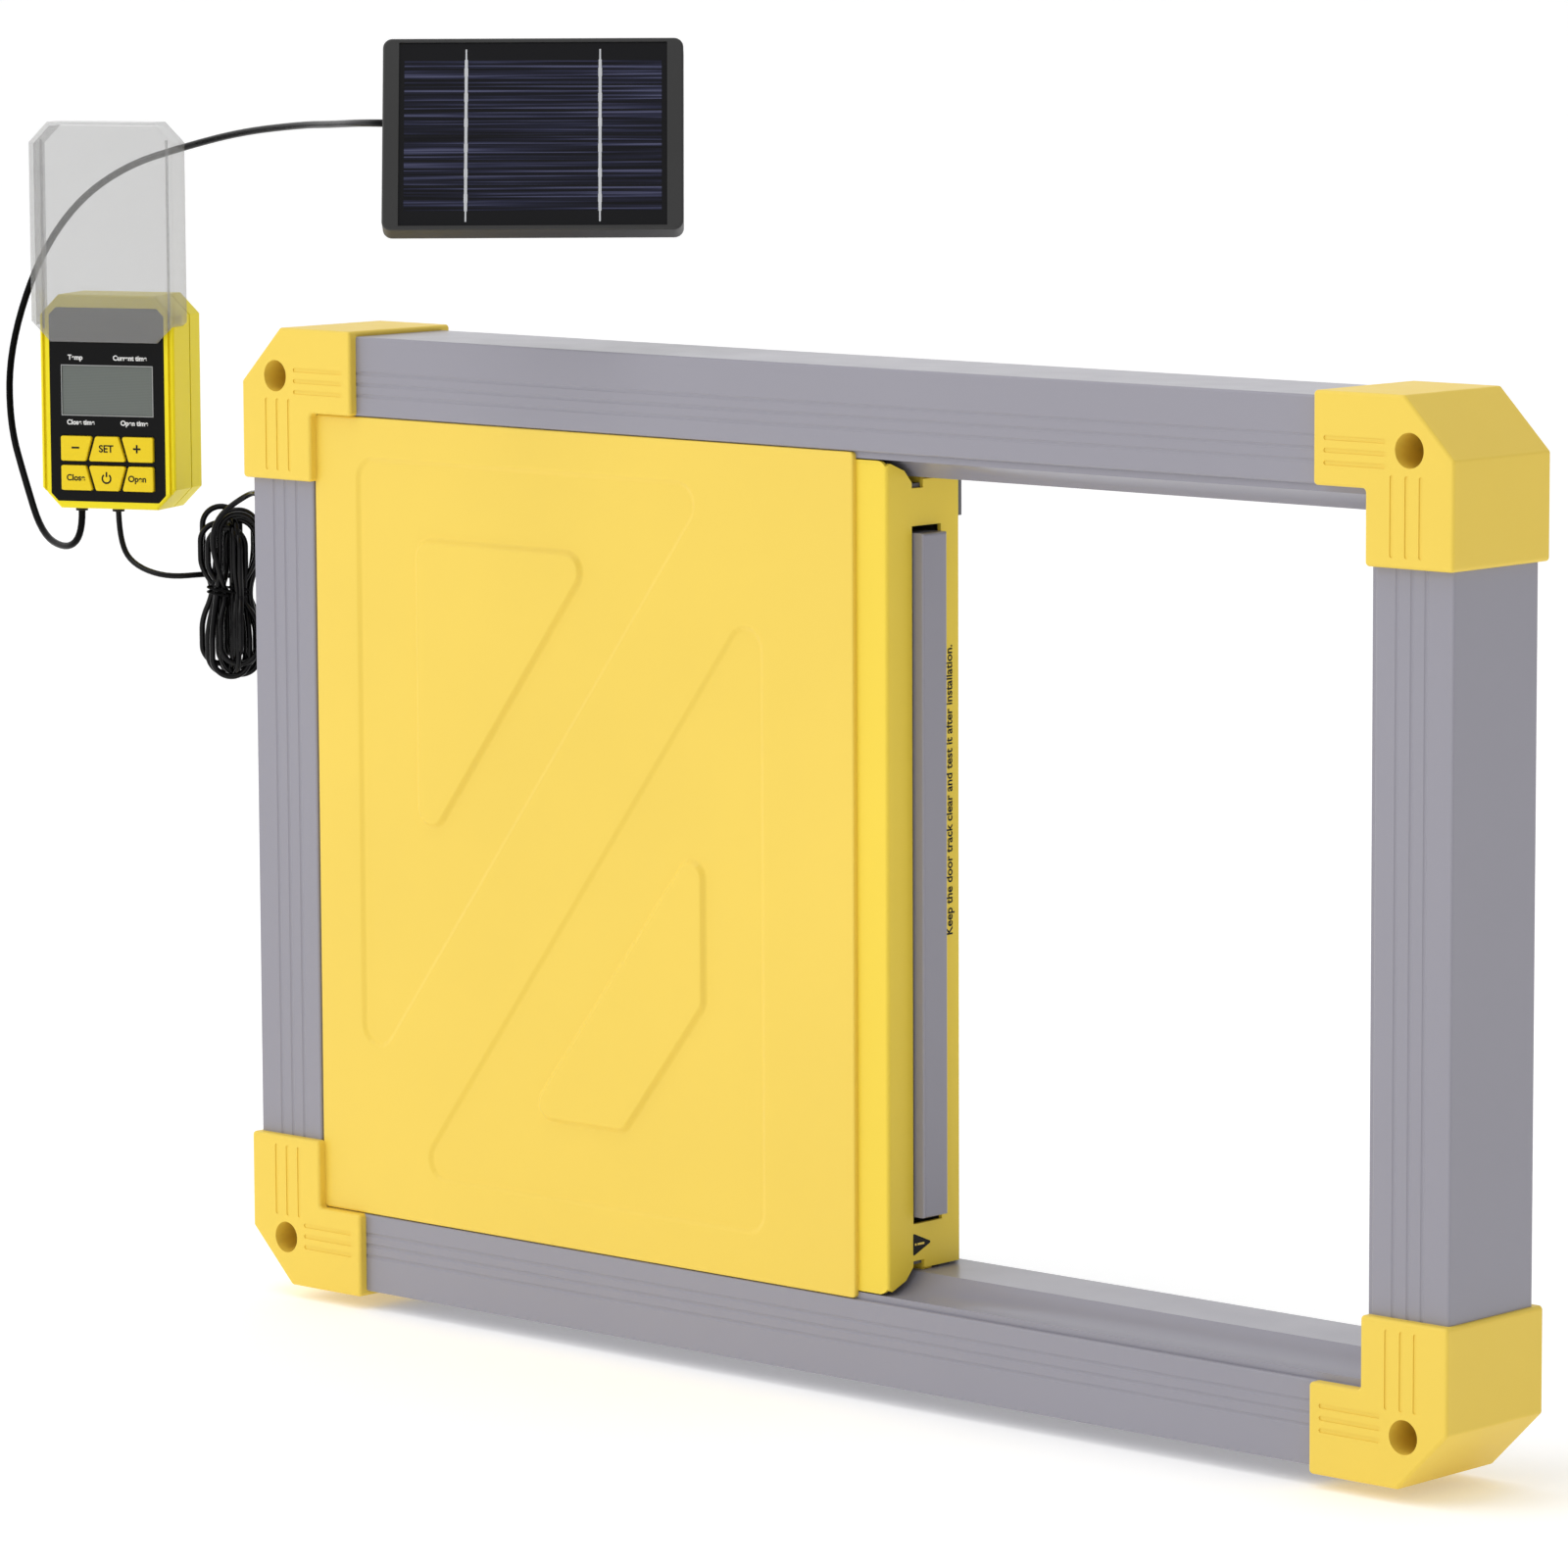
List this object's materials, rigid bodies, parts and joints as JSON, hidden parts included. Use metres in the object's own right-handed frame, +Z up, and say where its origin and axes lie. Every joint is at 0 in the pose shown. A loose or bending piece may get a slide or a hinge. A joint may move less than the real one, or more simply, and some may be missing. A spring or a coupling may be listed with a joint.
{
  "type": "automatic coop door",
  "caption": "Wall-mounted sliding door in an aluminium frame with plastic corner caps, a screw-driven door panel, a keypad controller under a clear cover and a solar panel",
  "frame": {"origin": "middle of the four wall-screw holes, on the wall side of the frame", "axes": "+X along the frame toward the door opening, +Y into the wall, +Z up, front faces -Y"},
  "size_m": [0.7601, 0.1158, 0.4817],
  "materials": {
    "grey_aluminium": "anodised grey, satin",
    "yellow_plastic": "moulded yellow plastic",
    "yellow_sheet": "yellow powder coat on embossed sheet",
    "galvanised_sheet": "galvanised sheet",
    "controller_yellow": "lemon yellow moulded plastic",
    "black_face": "gloss black face panel",
    "display": "grey-green liquid crystal window",
    "key_yellow": "yellow keys with dark symbols",
    "board_green": "green circuit board",
    "battery_wrap": "blue battery wrap",
    "steel": "zinc plated steel",
    "brass": "turned brass",
    "black_rubber": "soft black rubber",
    "grey_polymer": "dark engineering plastic",
    "white_polymer": "white bearing plastic",
    "clear_plastic": "clear moulded plastic",
    "black_plastic": "black moulded plastic",
    "solar_cells": "dark blue cells under glass",
    "cord_black": "black cord sheath"
  },
  "bodies": {
    "frame": {"top_rail": "grey_aluminium", "bottom_rail": "grey_aluminium", "left_post": "grey_aluminium", "right_post": "grey_aluminium", "corner_cap_top_left": "yellow_plastic", "corner_cap_top_right": "yellow_plastic", "corner_cap_bottom_left": "yellow_plastic", "corner_cap_bottom_right": "yellow_plastic", "frame_screws": "steel", "front_cover": "yellow_sheet", "side_plate": "yellow_sheet", "rear_cover": "galvanised_sheet", "guide_rods": "steel", "rod_supports": "grey_polymer", "bearing_blocks": "grey_polymer", "gearmotor": "steel", "motor_bracket": "galvanised_sheet", "limit_switches": "grey_polymer", "post_buffer": "black_rubber", "controller_front_shell": "controller_yellow", "controller_back_shell": "controller_yellow", "shell_gasket": "black_rubber", "face_panel": "black_face", "lcd_display": "display", "circuit_board": "board_green", "battery": "battery_wrap", "controller_screws": "steel", "controller_glands": "black_rubber", "controller_bracket": "black_plastic", "panel_bracket": "black_plastic", "solar_cord": "cord_black", "door_cord_controller_side": "cord_black", "door_cord_frame_side": "cord_black", "cord_hank": "cord_black", "hank_tie": "black_rubber", "frame_gland": "black_rubber"},
    "door": {"door_panel": "grey_aluminium", "door_end_caps": "grey_polymer", "door_edge_strip": "grey_aluminium", "carriage_top": "grey_polymer", "carriage_bottom": "grey_polymer", "guide_bushings": "white_polymer", "drive_nut": "brass"},
    "screw": {"lead_screw": "steel", "motor_shaft": "steel", "shaft_coupling": "steel"},
    "rain_cover": {"rain_cover": "clear_plastic"},
    "solar_panel": {"panel_frame": "black_plastic", "solar_laminate": "solar_cells", "panel_back": "black_plastic", "junction_box": "black_plastic", "tilt_bolt": "steel", "wing_nut": "steel"},
    "key_minus": {"key_minus": "key_yellow"},
    "key_set": {"key_set": "key_yellow"},
    "key_plus": {"key_plus": "key_yellow"},
    "key_close": {"key_close": "key_yellow"},
    "key_power": {"key_power": "key_yellow"},
    "key_open": {"key_open": "key_yellow"}
  },
  "joints": [
    {"name": "door_slide", "type": "slide", "parent": "frame", "child": "door", "axis": [1, 0, 0], "range_m": [0, 0.209]},
    {"name": "screw_spin", "type": "hinge", "parent": "frame", "child": "screw", "pos_m": [0, -0.012, 0.134], "axis": [1, 0, 0], "continuous": true},
    {"name": "rain_cover_slide", "type": "slide", "parent": "frame", "child": "rain_cover", "axis": [0, 0, 1], "range_m": [-0.065, 0]},
    {"name": "panel_tilt", "type": "hinge", "parent": "frame", "child": "solar_panel", "pos_m": [-0.11525, -0.04615, 0.26562], "axis": [0.7373, 0.6756, 0], "range_deg": [-20, 20]},
    {"name": "key_minus_press", "type": "slide", "parent": "frame", "child": "key_minus", "axis": [-0.3875, 0.9219, 0], "range_m": [0, 0.0008], "stiffness_N_per_m": 1500},
    {"name": "key_set_press", "type": "slide", "parent": "frame", "child": "key_set", "axis": [-0.3875, 0.9219, 0], "range_m": [0, 0.0008], "stiffness_N_per_m": 1500},
    {"name": "key_plus_press", "type": "slide", "parent": "frame", "child": "key_plus", "axis": [-0.3875, 0.9219, 0], "range_m": [0, 0.0008], "stiffness_N_per_m": 1500},
    {"name": "key_close_press", "type": "slide", "parent": "frame", "child": "key_close", "axis": [-0.3875, 0.9219, 0], "range_m": [0, 0.0008], "stiffness_N_per_m": 1500},
    {"name": "key_power_press", "type": "slide", "parent": "frame", "child": "key_power", "axis": [-0.3875, 0.9219, 0], "range_m": [0, 0.0008], "stiffness_N_per_m": 1500},
    {"name": "key_open_press", "type": "slide", "parent": "frame", "child": "key_open", "axis": [-0.3875, 0.9219, 0], "range_m": [0, 0.0008], "stiffness_N_per_m": 1500}
  ],
  "couplings": [
    {"joint": "screw_spin", "follows": "door_slide", "rad_per_m": 1047.2}
  ]
}
